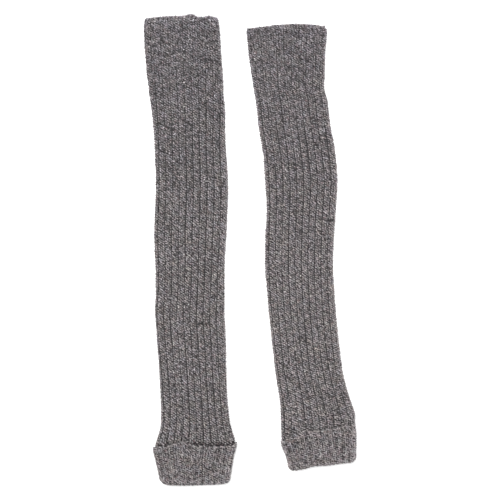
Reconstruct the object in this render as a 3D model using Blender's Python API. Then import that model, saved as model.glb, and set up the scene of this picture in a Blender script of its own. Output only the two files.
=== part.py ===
"""A pair of ribbed knit leg warmers, lying flat side by side.

Each is a knitted tube pressed flat, its front layer on its back layer, with the
lower end turned up outside as a cuff. +Y runs up the legs towards the upper
openings, +X to the right and +Z up from the surface that the pair lies on.
Sizes are in millimetres, and MM turns them into metres where meshes are made.
"""

import math
from collections import namedtuple

import bmesh
import bpy

MM = 0.001

# Knitted fabric
WALL = 2.6
RIB_RISE = 0.9
CUFF_RIB_RISE = 0.35
RIBS_ACROSS = 11
LAYER_GAP = 0.5
SEAM_GAP = 0.3

# Places around one section
FOLD_REACH = 4.0
SLOT_END_REACH = 1.2
FOLD_STEPS = 4
UNDER_STEPS = 6
RIB_PROFILE = (0.0, 0.85, 0.85)

# Places along a leg
STATION_STEP = 21.0
END_FADE = 24.0
RAMP = 38.0
RAMP_END = 3.0
CUFF_STATIONS = (0.0, 9.0, 20.0, 31.0, 41.0)
FOLD_ROUND = 4.0
FOLD_EDGE = 1.2

# Wool colours, linear
LEG_GREY = (0.165, 0.150, 0.156, 1.0)
CUFF_GREY = (0.150, 0.137, 0.142, 1.0)
WOOL_ROUGHNESS = 0.95

# One row for each section that shapes a leg. down is its distance below the pair's
# highest point, sway how far its middle is from the leg's own line, lean how much
# its right end is above its left end, and ribs the share of the full rib rise.
Row = namedtuple("Row", "down sway width lean ribs")

# One row for each soft trough in the front layer. across is a share of half the
# width, along and wide are its half lengths, and turn is in degrees from +X.
Crease = namedtuple("Crease", "down across along wide turn depth")

# drop is how much lower an end's corners are than its middle, and power how
# square the end is.
End = namedtuple("End", "drop power")

Leg = namedtuple("Leg", "name line lip bottom top_end bottom_end course creases")

LEFT = Leg(
    name="left",
    line=-80.0,
    lip=569.0,
    bottom=622.5,
    top_end=End(drop=4.5, power=12),
    bottom_end=End(drop=6.0, power=9),
    course=(
        Row(down=3.0, sway=-10.7, width=100.5, lean=0.0, ribs=0.2),
        Row(down=20.0, sway=-10.2, width=103.5, lean=0.0, ribs=0.2),
        Row(down=68.0, sway=-7.5, width=103.0, lean=0.0, ribs=0.3),
        Row(down=100.0, sway=-4.7, width=100.5, lean=0.0, ribs=0.5),
        Row(down=132.0, sway=-1.5, width=97.5, lean=0.0, ribs=0.8),
        Row(down=163.0, sway=1.0, width=94.5, lean=0.0, ribs=1.0),
        Row(down=227.0, sway=3.5, width=96.5, lean=0.0, ribs=1.0),
        Row(down=290.0, sway=1.0, width=96.0, lean=0.0, ribs=1.0),
        Row(down=330.0, sway=1.0, width=93.5, lean=0.0, ribs=1.0),
        Row(down=400.0, sway=0.0, width=92.5, lean=0.0, ribs=1.0),
        Row(down=464.0, sway=4.0, width=90.0, lean=0.0, ribs=1.0),
        Row(down=512.0, sway=6.5, width=90.0, lean=2.0, ribs=1.0),
        Row(down=541.0, sway=7.5, width=92.0, lean=4.0, ribs=0.9),
        Row(down=560.0, sway=8.5, width=105.0, lean=6.0, ribs=0.5),
        Row(down=569.0, sway=7.0, width=105.5, lean=6.0, ribs=0.4),
        Row(down=589.0, sway=7.0, width=98.0, lean=3.0, ribs=0.4),
        Row(down=610.0, sway=7.0, width=92.5, lean=0.0, ribs=0.4),
        Row(down=622.5, sway=7.0, width=90.0, lean=0.0, ribs=0.4),
    ),
    creases=(
        Crease(down=58.0, across=0.75, along=22.0, wide=9.0, turn=-35.0, depth=0.6),
        Crease(down=146.0, across=-0.62, along=20.0, wide=9.0, turn=-15.0, depth=0.6),
        Crease(down=409.0, across=0.3, along=20.0, wide=8.0, turn=0.0, depth=0.6),
    ),
)

RIGHT = Leg(
    name="right",
    line=70.0,
    lip=553.0,
    bottom=599.0,
    top_end=End(drop=6.0, power=2),
    bottom_end=End(drop=4.0, power=10),
    course=(
        Row(down=13.0, sway=-22.0, width=105.5, lean=1.0, ribs=0.2),
        Row(down=21.0, sway=-21.5, width=106.5, lean=1.0, ribs=0.2),
        Row(down=53.0, sway=-21.5, width=102.0, lean=1.0, ribs=0.3),
        Row(down=84.0, sway=-19.5, width=97.0, lean=2.0, ribs=0.4),
        Row(down=100.0, sway=-18.3, width=94.0, lean=4.0, ribs=0.5),
        Row(down=116.0, sway=-15.0, width=96.5, lean=5.0, ribs=0.7),
        Row(down=148.0, sway=-11.0, width=96.5, lean=7.0, ribs=0.9),
        Row(down=180.0, sway=-5.5, width=96.5, lean=7.0, ribs=1.0),
        Row(down=219.0, sway=-3.0, width=96.0, lean=5.0, ribs=1.0),
        Row(down=258.0, sway=-2.5, width=92.5, lean=2.0, ribs=1.0),
        Row(down=290.0, sway=-4.5, width=91.0, lean=0.0, ribs=1.0),
        Row(down=338.0, sway=-5.0, width=90.0, lean=2.0, ribs=1.0),
        Row(down=401.0, sway=-0.5, width=88.5, lean=6.0, ribs=1.0),
        Row(down=464.0, sway=6.5, width=89.0, lean=12.0, ribs=1.0),
        Row(down=492.0, sway=11.0, width=90.0, lean=16.0, ribs=1.0),
        Row(down=512.0, sway=15.0, width=93.0, lean=19.0, ribs=1.0),
        Row(down=540.0, sway=18.5, width=94.5, lean=23.0, ribs=0.7),
        Row(down=553.0, sway=19.0, width=95.5, lean=24.0, ribs=0.4),
        Row(down=575.0, sway=22.0, width=90.5, lean=18.0, ribs=0.4),
        Row(down=599.0, sway=25.0, width=85.5, lean=11.0, ribs=0.4),
    ),
    creases=(
        Crease(down=274.0, across=0.55, along=18.0, wide=8.0, turn=0.0, depth=0.6),
        Crease(down=429.0, across=-0.1, along=22.0, wide=9.0, turn=70.0, depth=0.7),
    ),
)


def ease(share):
    """Smooth rise from 0 to 1."""
    share = min(max(share, 0.0), 1.0)
    return share * share * (3.0 - 2.0 * share)


def read_course(course, down):
    """The section at one distance down the leg, on a smooth curve through the rows."""
    down = min(max(down, course[0].down), course[-1].down)
    last = len(course) - 1
    index = max(i for i in range(last) if course[i].down <= down)
    before = course[max(index - 1, 0)]
    start = course[index]
    end = course[index + 1]
    after = course[min(index + 2, last)]
    span = end.down - start.down
    share = (down - start.down) / span

    def value(column):
        at_start = getattr(start, column)
        at_end = getattr(end, column)
        leaving = (at_end - getattr(before, column)) / (end.down - before.down) * span
        arriving = (getattr(after, column) - at_start) / (after.down - start.down) * span
        blend = ease(share)
        return (
            at_start * (1.0 - blend)
            + at_end * blend
            + leaving * share * (1.0 - share) ** 2
            - arriving * share * share * (1.0 - share)
        )

    return Row(down, value("sway"), value("width"), value("lean"), value("ribs"))


def outline(width, low, high, reach, rise):
    """One closed loop around a flattened tube, as (across, up) pairs.

    It runs along the flat underside, round the right fold, back over the ribs on
    top and round the left fold, always with the same number of points.
    """
    half = width / 2.0 - reach
    middle = (low + high) / 2.0
    depth = (high - low) / 2.0
    loop = []
    for step in range(UNDER_STEPS):
        loop.append((half * (2.0 * step / UNDER_STEPS - 1.0), low))
    for step in range(FOLD_STEPS):
        angle = math.pi * (step / FOLD_STEPS - 0.5)
        loop.append((half + reach * math.cos(angle), middle + depth * math.sin(angle)))
    rib_points = RIBS_ACROSS * len(RIB_PROFILE)
    for step in range(rib_points):
        across = half * (1.0 - 2.0 * step / rib_points)
        loop.append((across, high + rise * RIB_PROFILE[step % len(RIB_PROFILE)]))
    for step in range(FOLD_STEPS):
        angle = math.pi * (0.5 + step / FOLD_STEPS)
        loop.append((-half + reach * math.cos(angle), middle + depth * math.sin(angle)))
    return loop


def crease_depth(leg, row, across):
    """How far the creases lower the front layer at one place."""
    depth = 0.0
    for crease in leg.creases:
        aside = across - crease.across * row.width / 2.0
        above = crease.down - row.down
        turn = math.radians(crease.turn)
        lengthwise = aside * math.cos(turn) + above * math.sin(turn)
        crosswise = above * math.cos(turn) - aside * math.sin(turn)
        distance = (lengthwise / crease.along) ** 2 + (crosswise / crease.wide) ** 2
        depth += crease.depth * math.exp(-distance)
    return depth


def place(leg, row, loop):
    """Put a loop at its section of the leg, with the ends' curved outlines."""
    top = leg.course[0].down
    near_top = 1.0 - ease((row.down - top) / END_FADE)
    near_bottom = 1.0 - ease((leg.bottom - row.down) / END_FADE)
    points = []
    for across, up in loop:
        share = across / (row.width / 2.0)
        edge = min(abs(share), 1.0)
        rise = row.lean * share / 2.0
        rise -= near_top * leg.top_end.drop * edge ** leg.top_end.power
        rise += near_bottom * leg.bottom_end.drop * edge ** leg.bottom_end.power
        points.append((row.sway + across, rise - row.down, up))
    return points


def lift(leg, down):
    """Height of the leg's underside, which climbs onto the cuff's under layer."""
    start = leg.lip - RAMP_END - RAMP
    return (WALL + SEAM_GAP) * ease((down - start) / RAMP)


def leg_heights(leg, down):
    """Heights of the leg's underside, slot floor, slot roof and top between ribs."""
    low = lift(leg, down)
    return low, low + WALL, low + WALL + LAYER_GAP, low + 2.0 * WALL + LAYER_GAP


def leg_outer(leg, down):
    """The ribbed outside of the leg at one section."""
    row = read_course(leg.course, down)
    low, _, _, high = leg_heights(leg, down)
    loop = outline(row.width, low, high, FOLD_REACH, RIB_RISE * row.ribs)
    creased = [
        (across, up - crease_depth(leg, row, across) if up >= high else up)
        for across, up in loop
    ]
    return place(leg, row, creased)


def leg_inner(leg, down):
    """The plain slot between the leg's two layers at one section."""
    row = read_course(leg.course, down)
    _, floor, roof, _ = leg_heights(leg, down)
    width = row.width - 2.0 * WALL
    loop = outline(width, floor, roof, SLOT_END_REACH, 0.0)
    creased = [
        (across, up - crease_depth(leg, row, across) * (up - floor) / (roof - floor) / 2.0)
        for across, up in loop
    ]
    return place(leg, row, creased)


def cuff_layer(leg, down, outwards, rise=0.0, inset=0.0):
    """A loop around the leg, moved out from it and then in by the inset."""
    row = read_course(leg.course, down)
    low, _, _, high = leg_heights(leg, down)
    over_ribs = high + RIB_RISE * row.ribs
    loop = outline(
        row.width + 2.0 * (outwards - inset),
        low - outwards + inset,
        over_ribs + outwards - inset,
        FOLD_REACH + outwards - inset,
        rise,
    )
    return place(leg, row, loop)


def loft(name, rings, colour, parent):
    """Join rings of equal counts, the last back to the first, into one closed solid."""
    bm = bmesh.new()
    loops = [
        [bm.verts.new([value * MM for value in point]) for point in ring] for ring in rings
    ]
    for index, loop in enumerate(loops):
        following = loops[(index + 1) % len(loops)]
        for step in range(len(loop)):
            after = (step + 1) % len(loop)
            bm.faces.new((loop[step], loop[after], following[after], following[step]))
    bmesh.ops.recalc_face_normals(bm, faces=bm.faces)
    mesh = bpy.data.meshes.new(name)
    bm.to_mesh(mesh)
    bm.free()
    for polygon in mesh.polygons:
        polygon.use_smooth = True
    mesh.materials.append(wool(name, colour))
    piece = bpy.data.objects.new(name, mesh)
    piece.parent = parent
    bpy.context.scene.collection.objects.link(piece)
    return piece


def wool(name, colour):
    """Plain matt wool."""
    material = bpy.data.materials.new(name + "_wool")
    material.use_nodes = True
    shader = material.node_tree.nodes["Principled BSDF"]
    shader.inputs["Base Color"].default_value = colour
    shader.inputs["Roughness"].default_value = WOOL_ROUGHNESS
    shader.inputs["Metallic"].default_value = 0.0
    return material


def leg_stations(leg):
    """Distances of the leg's sections, with one on each crease and under the cuff."""
    top = leg.course[0].down
    count = round((leg.lip - top) / STATION_STEP)
    stations = {top + (leg.lip - top) * step / count for step in range(count)}
    end = leg_end(leg)
    stations |= {leg.lip + further for further in CUFF_STATIONS if leg.lip + further < end}
    stations.add(end)
    return sorted(stations)


def leg_end(leg):
    """Where the leg's tube meets the inside of the cuff's fold."""
    return leg.bottom - WALL - SEAM_GAP


def build_leg(leg, parent):
    """The knitted tube, open at both ends."""
    stations = leg_stations(leg)
    rings = [leg_outer(leg, down) for down in stations]
    rings += [leg_inner(leg, down) for down in reversed(stations)]
    return loft(leg.name + "_leg", rings, LEG_GREY, parent)


def build_cuff(leg, parent):
    """The turned-up end: a sleeve around the leg, closed to it by a rounded fold."""
    outside = SEAM_GAP + WALL
    seat = leg_end(leg) + SEAM_GAP
    shared = [down for down in leg_stations(leg) if down >= leg.lip]
    walls = [down for down in shared if down < leg.bottom - FOLD_ROUND]
    rings = [cuff_layer(leg, down, outside, rise=CUFF_RIB_RISE) for down in walls]
    rings.append(cuff_layer(leg, leg.bottom - FOLD_ROUND, outside))
    rings.append(cuff_layer(leg, leg.bottom - FOLD_EDGE, outside, inset=FOLD_EDGE))
    rings.append(cuff_layer(leg, leg.bottom, outside, inset=outside))
    rings.append(leg_inner(leg, leg.bottom))
    rings.append(leg_inner(leg, seat))
    rings.append(cuff_layer(leg, seat, SEAM_GAP))
    rings += [cuff_layer(leg, down, SEAM_GAP) for down in reversed(shared)]
    return loft(leg.name + "_cuff", rings, CUFF_GREY, parent)


def centre_pair(parents, pieces):
    """Put the middle of the pair's footprint over the origin."""
    bpy.context.view_layer.update()
    corners = [piece.matrix_world @ vertex.co for piece in pieces for vertex in piece.data.vertices]
    for axis in (0, 1):
        places = [corner[axis] for corner in corners]
        middle = (min(places) + max(places)) / 2.0
        for parent in parents:
            parent.location[axis] -= middle
    bpy.context.view_layer.update()


def main():
    for thing in list(bpy.data.objects):
        bpy.data.objects.remove(thing)
    parents = []
    pieces = []
    for leg in (LEFT, RIGHT):
        parent = bpy.data.objects.new(leg.name + "_leg_warmer", None)
        parent.location = (leg.line * MM, 0.0, 0.0)
        bpy.context.scene.collection.objects.link(parent)
        parents.append(parent)
        pieces.append(build_leg(leg, parent))
        pieces.append(build_cuff(leg, parent))
    centre_pair(parents, pieces)


main()
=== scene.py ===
"""Knitted finish for a pair of ribbed leg warmers that lie flat side by side.

Each leg warmer is a ribbed tube with its stitches laid on it one by one, and its
lower end turned up as a cuff. Tables hold sizes in millimetres, in the frame of the
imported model: +Y up the legs, +X to the right and +Z up from the surface.
"""

import math
from collections import namedtuple

import bpy
import numpy as np
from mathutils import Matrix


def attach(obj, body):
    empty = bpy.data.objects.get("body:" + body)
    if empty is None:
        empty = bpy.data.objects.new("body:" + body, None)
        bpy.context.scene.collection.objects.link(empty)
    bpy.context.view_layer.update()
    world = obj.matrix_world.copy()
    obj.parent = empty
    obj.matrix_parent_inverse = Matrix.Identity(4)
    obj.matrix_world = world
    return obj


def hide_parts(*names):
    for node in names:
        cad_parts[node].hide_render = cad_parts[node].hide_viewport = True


bl_info = {
    "name": "Ribbed Leg Warmers",
    "version": (1, 0, 0),
    "blender": (4, 5, 0),
    "location": "View3D > Sidebar > Leg Warmers",
    "description": "Knits a pair of ribbed leg warmers around their packed solids",
    "category": "Add Mesh",
}

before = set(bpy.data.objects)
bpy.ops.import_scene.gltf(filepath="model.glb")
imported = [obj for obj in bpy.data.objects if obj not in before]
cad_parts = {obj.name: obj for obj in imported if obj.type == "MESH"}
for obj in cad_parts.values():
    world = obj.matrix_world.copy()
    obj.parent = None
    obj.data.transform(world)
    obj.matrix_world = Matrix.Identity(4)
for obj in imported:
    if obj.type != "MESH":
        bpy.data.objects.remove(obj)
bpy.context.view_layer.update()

MM = 0.001
BODY = "root"

# The photograph's framing: one of its pixels in millimetres, its side in pixels, and
# the frame's place under its middle. The pair's highest point is at the top line.
PIXEL = 1.3245
IMAGE_PIXELS = 500
IMAGE_MIDDLE = (-0.2, 1.2)
TOP_LINE = 312.75

# Fabric: the ribs around, the wall, and the gap between two layers.
RIBS_AROUND = 22
WALL = 2.6
SEAM_GAP = 0.3

# The folds at a pressed tube's sides: how far in they start, and their length around.
FOLD_REACH = 4.0
FOLD_LENGTH = 10.8

# How far along the leg an end's outline is felt, how long the leg's climb onto the
# cuff's under layer is, and how far above the lip it ends.
END_FADE = 24.0
RAMP = 38.0
RAMP_END = 3.0
FLOOR_CLEARANCE = 0.05

# Widest crease that is a sharp line between stitches, the share of its depth that
# sinks them, how much painted shade each millimetre of its depth gives its bottom, and
# the room around it in widths.
SHARP_CREASE = 3.0
SHARP_SINK = 0.25
CREASE_SHADE = 0.6
CREASE_ROOM = 3.0

# How far up the leg the lip presses its stitches and casts its painted shadow, and how far
# down a snug lip is drawn in.
LIP_PRESS_LENGTH = 6.0
SNUG_LENGTH = 14.0

# The turned-up end's fold: how far its fabric stays above the leg warmer's lower end,
# so that the stitches on it end there, the length that bends, and the share of its
# reach to the sides that is left at its end.
FOLD_TUCK = 1.3
FOLD_ROUND = 4.0
FOLD_END_REACH = 0.4

# Slow waves of cloth that was laid down by hand: their height, their lengths down and
# across the leg, and how many times the leg's own shift moves them.
Ripple = namedtuple("Ripple", "height down across shifts")
RIPPLES = (
    Ripple(height=0.22, down=17.0, across=31.0, shifts=1.0),
    Ripple(height=0.18, down=9.5, across=-14.0, shifts=2.0),
    Ripple(height=0.12, down=5.2, across=9.0, shifts=3.0),
)
SEED_SHIFT = 0.7

# A section of a leg: its distance below the top line, how far right of the leg's line
# its middle is, its width, how strongly its ribs show, the ribs that its front is
# turned by, and how much higher its right side lies than its left.
Row = namedtuple("Row", "down sway width ribs turn lean", defaults=(0.0,))

# A crease: its middle down the leg and across it in half widths, its length and
# width, the degrees it rises to the right, and its depth.
Crease = namedtuple("Crease", "down across along wide turn depth")

# An end's outline: how far its corners drop, how sharply, and its waves as pairs of a
# place in half widths and a height.
End = namedtuple("End", "drop power wave")

# A leg warmer: which one it is and where its line is across, how far down its lip and
# its lower end are, how hard the lip presses the leg and how dark its painted shadow is,
# how far in it is drawn and its wave, how strong the painted shade in the cuff's grooves
# is, the height of a row of stitches, how much paler the upper edge is, its ends and
# tables, and where its random draws start.
Leg = namedtuple(
    "Leg",
    "side line lip lip_press lip_snug lip_wave cuff_ribs bottom row_height top_light"
    " top_end bottom_end course creases pale_loops seed",
)

# One loop around the tube: how far its folds reach past the flat stretch, the height
# of its middle over the leg's underside, and its half heights above and below.
Loop = namedtuple("Loop", "reach middle rise fall")
LEG_OUTSIDE = Loop(reach=1.4, middle=3.2, rise=1.2, fall=1.2)
LEG_INSIDE = Loop(reach=0.6, middle=2.85, rise=0.25, fall=0.25)
CUFF_OUTSIDE = Loop(reach=4.8, middle=3.1, rise=4.6, fall=4.9)
CUFF_INSIDE = Loop(reach=4.3, middle=3.1, rise=3.5, fall=3.4)
LIP_EDGE = Loop(reach=4.6, middle=3.1, rise=4.1, fall=4.3)

LEFT = Leg(
    side="left",
    line=-80.0,
    lip=569.0,
    lip_press=1.0,
    lip_snug=0.0,
    cuff_ribs=0.3,
    bottom=622.5,
    row_height=3.28,
    top_light=0.2,
    top_end=End(
        drop=4.5,
        power=12,
        wave=(
            (-0.87, -2.0), (-0.69, -1.8), (-0.5, -0.8), (-0.27, -0.1), (0.1, 0.4),
            (0.24, 2.8), (0.33, 1.7), (0.41, -1.1), (0.57, -1.5), (0.7, 0.4), (0.9, -0.8),
        ),
    ),
    lip_wave=(
        (-1.0, -0.5), (-0.8, 0.8), (-0.7, -0.6), (-0.55, 3.6), (-0.42, 3.0), (-0.34, 5.8),
        (-0.17, 3.4), (-0.1, 1.2), (0.06, -1.8), (0.22, -1.8), (0.32, -3.2), (0.45, -3.1),
        (0.7, -3.6), (0.88, -3.9), (0.96, -1.8), (1.0, 0.5),
    ),
    bottom_end=End(
        drop=6.0,
        power=9,
        wave=(
            (-1.0, -1.2), (-0.55, -0.9), (-0.1, -0.7), (0.25, -0.2), (0.69, 0.6),
            (0.9, 0.0), (1.0, -2.0),
        ),
    ),
    # down, sway, width, ribs, turn, lean
    course=(
        Row(3.0, -10.9, 101.5, 0.08, 1.15),
        Row(20.0, -10.3, 104.1, 0.1, 1.1),
        Row(68.0, -7.6, 104.0, 0.2, 0.94),
        Row(100.0, -4.6, 101.5, 0.5, 0.75),
        Row(132.0, -1.5, 99.1, 0.8, 0.56),
        Row(163.0, 0.0, 95.8, 1.0, 0.43),
        Row(227.0, 2.65, 97.2, 1.0, 0.29),
        Row(290.0, 0.5, 97.3, 1.0, 0.32),
        Row(330.0, 0.1, 93.3, 1.0, 0.32),
        Row(368.0, 0.8, 92.5, 1.05, 0.13),
        Row(400.0, 0.4, 93.0, 1.1, 0.0),
        Row(437.0, 2.8, 91.9, 1.13, 0.02),
        Row(464.0, 4.0, 90.0, 1.15, 0.07),
        Row(512.0, 6.1, 89.2, 1.2, 0.19, 2.0),
        Row(541.0, 7.85, 92.7, 1.2, 0.15, 4.0),
        Row(560.0, 7.65, 103.3, 1.1, 0.14, 6.0),
        Row(569.0, 7.2, 108.6, 0.5, 0.14, 6.0),
        Row(589.0, 6.6, 99.8, 0.4, 0.14, 3.0),
        Row(610.0, 7.0, 92.5, 0.4, 0.14),
        Row(622.5, 7.0, 90.0, 0.4, 0.14),
    ),
    # down, across, along, wide, turn, depth
    creases=(
        Crease(58.0, 0.75, 22.0, 9.0, -35.0, 0.6),
        Crease(146.0, -0.62, 20.0, 9.0, -15.0, 0.6),
        Crease(409.0, 0.3, 20.0, 8.0, 0.0, 0.6),
        Crease(60.7, 0.66, 6.0, 1.2, -4.0, 1.8),
        Crease(64.9, 0.88, 5.5, 1.3, -42.0, 2.0),
        Crease(150.0, -0.55, 8.5, 1.5, -21.0, 1.5),
        Crease(144.5, -0.02, 6.5, 1.3, -24.0, 1.3),
        Crease(162.0, -0.18, 9.0, 1.1, 2.0, 0.7),
        Crease(409.0, 0.34, 10.0, 1.5, 0.0, 1.3),
    ),
    pale_loops=(
        (-5.6, 8.5), (-4.75, 8.0), (-3.5, 8.5), (-0.75, 7.5), (-0.1, 8.5), (0.4, 10.5),
        (2.85, 8.5), (3.1, 12.0),
    ),
    seed=11,
)

RIGHT = Leg(
    side="right",
    line=70.0,
    lip=553.0,
    lip_press=0.1,
    lip_snug=1.4,
    cuff_ribs=0.38,
    bottom=599.0,
    row_height=3.05,
    top_light=0.0,
    top_end=End(
        drop=6.0,
        power=2,
        wave=(
            (-1.0, 0.8), (-0.9, -1.6), (-0.47, -2.1), (-0.3, -1.4), (0.0, -1.3),
            (0.27, -0.3), (0.45, -0.2), (0.6, 0.6), (0.86, 1.1), (0.97, 2.2),
        ),
    ),
    lip_wave=(
        (-1.0, 0.0), (-0.57, 8.0), (-0.17, 4.7), (0.12, 2.5), (0.57, 1.0), (1.0, 0.0),
    ),
    bottom_end=End(
        drop=4.0,
        power=10,
        wave=(
            (-1.0, -1.2), (-0.82, 0.0), (-0.6, 0.7), (-0.45, 1.4), (-0.26, 3.0),
            (-0.1, 2.1), (0.11, 1.4), (0.3, 1.3), (0.6, 1.9), (0.76, 0.8), (1.0, -0.6),
        ),
    ),
    # down, sway, width, ribs, turn, lean
    course=(
        Row(13.0, -22.6, 107.8, 0.1, 0.6, 1.0),
        Row(21.0, -21.6, 110.0, 0.12, 0.6, 1.0),
        Row(53.0, -21.5, 104.3, 0.2, 0.6, 1.0),
        Row(84.0, -19.6, 98.9, 0.35, 0.5, 2.0),
        Row(100.0, -18.5, 95.4, 0.5, 0.46, 4.0),
        Row(116.0, -15.0, 96.5, 0.7, 0.42, 5.0),
        Row(148.0, -11.3, 96.3, 0.9, 0.4, 7.0),
        Row(180.0, -6.0, 96.3, 1.0, 0.33, 7.0),
        Row(219.0, -2.5, 97.2, 1.0, 0.36, 5.0),
        Row(258.0, -2.8, 93.4, 1.0, 0.3, 2.0),
        Row(290.0, -4.5, 92.6, 1.0, 0.34),
        Row(338.0, -5.3, 91.2, 1.0, 0.36, 2.0),
        Row(401.0, -0.2, 89.4, 1.0, 0.18, 6.0),
        Row(464.0, 6.8, 88.5, 1.0, 0.15, 12.0),
        Row(492.0, 10.9, 88.7, 1.0, 0.28, 16.0),
        Row(512.0, 14.9, 91.8, 1.0, 0.3, 19.0),
        Row(540.0, 19.3, 99.6, 0.8, 0.3, 23.0),
        Row(553.0, 19.6, 98.7, 0.5, 0.3, 24.0),
        Row(575.0, 23.6, 90.0, 0.4, 0.3, 18.0),
        Row(599.0, 25.4, 86.3, 0.4, 0.3, 11.0),
    ),
    # down, across, along, wide, turn, depth
    creases=(
        Crease(274.0, 0.55, 18.0, 8.0, 0.0, 0.6),
        Crease(429.0, -0.1, 22.0, 9.0, 70.0, 0.7),
        Crease(273.0, 0.84, 5.5, 1.4, 0.0, 1.5),
        Crease(428.0, -0.12, 6.0, 1.8, 60.0, 1.0),
        Crease(431.0, 0.02, 5.0, 1.6, 50.0, 0.8),
    ),
    pale_loops=((-5.2, 20.5), (-1.4, 16.0), (3.6, 19.0)),
    seed=23,
)

LEGS = {leg.side: leg for leg in (LEFT, RIGHT)}


class KnitSettings(bpy.types.PropertyGroup):
    """Sizes of the rib and of the stitches on it."""

    rib_rise: bpy.props.FloatProperty(
        name="Rib rise",
        description="Height of the fabric under a rib's stitches, over the grooves",
        default=0.0013,
        min=0.0,
        unit="LENGTH",
    )
    stitch_slant: bpy.props.FloatProperty(
        name="Stitch slant",
        description="Angle of the twisted stitches below the horizontal",
        default=math.radians(38.0),
        subtype="ANGLE",
    )
    stitch_length: bpy.props.FloatProperty(
        name="Stitch length",
        description="Length of the yarn that shows in one stitch",
        default=0.005,
        min=0.001,
        unit="LENGTH",
    )
    stitch_width: bpy.props.FloatProperty(
        name="Stitch width",
        description="Width of the yarn that shows in one stitch",
        default=0.0023,
        min=0.0005,
        unit="LENGTH",
    )
    stitch_height: bpy.props.FloatProperty(
        name="Stitch height",
        description="How far the yarn of a stitch stands out of the fabric under it",
        default=0.0014,
        min=0.0,
        unit="LENGTH",
    )
    fuzz_fibres: bpy.props.IntProperty(
        name="Fuzz fibres",
        description="Loose fibres on each leg warmer",
        default=2200,
        min=0,
    )


COLOUR = {"subtype": "COLOR", "min": 0.0, "max": 1.0}


class WoolSettings(bpy.types.PropertyGroup):
    """Colours of the marl yarn."""

    dark_fibre: bpy.props.FloatVectorProperty(
        name="Dark fibre",
        description="Darkest fibre in the marl",
        default=(0.013, 0.011, 0.0115),
        **COLOUR,
    )
    light_fibre: bpy.props.FloatVectorProperty(
        name="Light fibre",
        description="Lightest fibre in the marl",
        default=(0.335, 0.309, 0.312),
        **COLOUR,
    )
    warm_fibre: bpy.props.FloatVectorProperty(
        name="Warm fibre",
        description="Faint pinkish brown fibre in the marl",
        default=(0.145, 0.098, 0.1),
        **COLOUR,
    )
    fleck: bpy.props.FloatVectorProperty(
        name="Fleck",
        description="Small undyed flecks",
        default=(0.5, 0.48, 0.47),
        **COLOUR,
    )


class StudioSettings(bpy.types.PropertyGroup):
    """Light and floor of the studio."""

    floor_side: bpy.props.FloatProperty(
        name="Floor side", description="Side of the square floor", default=6.0, unit="LENGTH"
    )
    lens: bpy.props.FloatProperty(
        name="Lens", description="Focal length of the camera", default=100.0, unit="CAMERA"
    )
    key_power: bpy.props.FloatProperty(
        name="Key power", description="Power of the large lamp above", default=35.0, unit="POWER"
    )
    sky_strength: bpy.props.FloatProperty(
        name="Sky strength", description="Strength of the even light all round", default=1.0
    )


def read_course(leg, down):
    """The leg's columns at distances down it, on a smooth curve through its rows."""
    rows = np.array(leg.course, float)
    last = len(rows) - 1
    place = np.clip(np.asarray(down, float), rows[0, 0], rows[-1, 0])
    index = np.clip(np.searchsorted(rows[:, 0], place, side="right") - 1, 0, last - 1)
    before, start, end, after = (rows[np.clip(index + step, 0, last)] for step in (-1, 0, 1, 2))
    span = end[..., :1] - start[..., :1]
    share = (place[..., None] - start[..., :1]) / span
    leaving = (end - before) / (end[..., :1] - before[..., :1]) * span
    arriving = (after - start) / (after[..., :1] - start[..., :1]) * span
    blend = ease(share)
    values = (
        start * (1.0 - blend)
        + end * blend
        + leaving * share * (1.0 - share) ** 2
        - arriving * share * share * (1.0 - share)
    )
    return Row(*np.moveaxis(values, -1, 0))


def ease(share):
    """Smooth rise from 0 to 1."""
    share = np.clip(share, 0.0, 1.0)
    return share * share * (3.0 - 2.0 * share)


def fade(distance, length):
    """Smooth fall from 1 to 0 over a length."""
    return 1.0 - ease(distance / length)


def wave_height(wave, share):
    """Height of an end's wave at a place in half widths."""
    return np.interp(share, *zip(*wave))


def rib_pitch(row):
    """Width of one rib at a section."""
    return (4.0 * (row.width / 2.0 - FOLD_REACH) + 2.0 * FOLD_LENGTH) / RIBS_AROUND


def crease_place(crease, half, down, across):
    """Distances from a crease's middle, along it and across it, in its own sizes."""
    aside = across - crease.across * half
    above = crease.down - down
    turn = math.radians(crease.turn)
    lengthwise = aside * math.cos(turn) + above * math.sin(turn)
    crosswise = above * math.cos(turn) - aside * math.sin(turn)
    return lengthwise / crease.along, crosswise / crease.wide


def crease_depth(leg, down, across):
    """How far the creases lower the front layer."""
    depth = np.zeros_like(down)
    half = read_course(leg, down).width / 2.0
    for crease in leg.creases:
        lengthwise, crosswise = crease_place(crease, half, down, across)
        share = SHARP_SINK if crease.wide < SHARP_CREASE else 1.0
        depth += share * crease.depth * np.exp(-(lengthwise**2) - crosswise**2)
    return depth


def crease_lines(leg, down, across):
    """Place across the nearest sharp crease, and the painted shade at its bottom there."""
    nearest = np.full_like(down, np.inf)
    place = np.full_like(down, np.inf)
    shadow = np.zeros_like(down)
    half = read_course(leg, down).width / 2.0
    for crease in leg.creases:
        if crease.wide > SHARP_CREASE:
            continue
        lengthwise, crosswise = crease_place(crease, half, down, across)
        distance = lengthwise**2 + (crosswise / CREASE_ROOM) ** 2
        nearer = distance < nearest
        nearest = np.where(nearer, distance, nearest)
        place = np.where(nearer, crosswise, place)
        darker = CREASE_SHADE * crease.depth * np.exp(-(lengthwise**4))
        shadow = np.where(nearer, darker, shadow)
    return place, shadow


def unevenness(leg, down, across):
    """Slow rise and fall of cloth that was laid down by hand."""
    shift = leg.seed * SEED_SHIFT
    return sum(
        wave.height * np.sin(down / wave.down + across / wave.across + wave.shifts * shift)
        for wave in RIPPLES
    )


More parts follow.
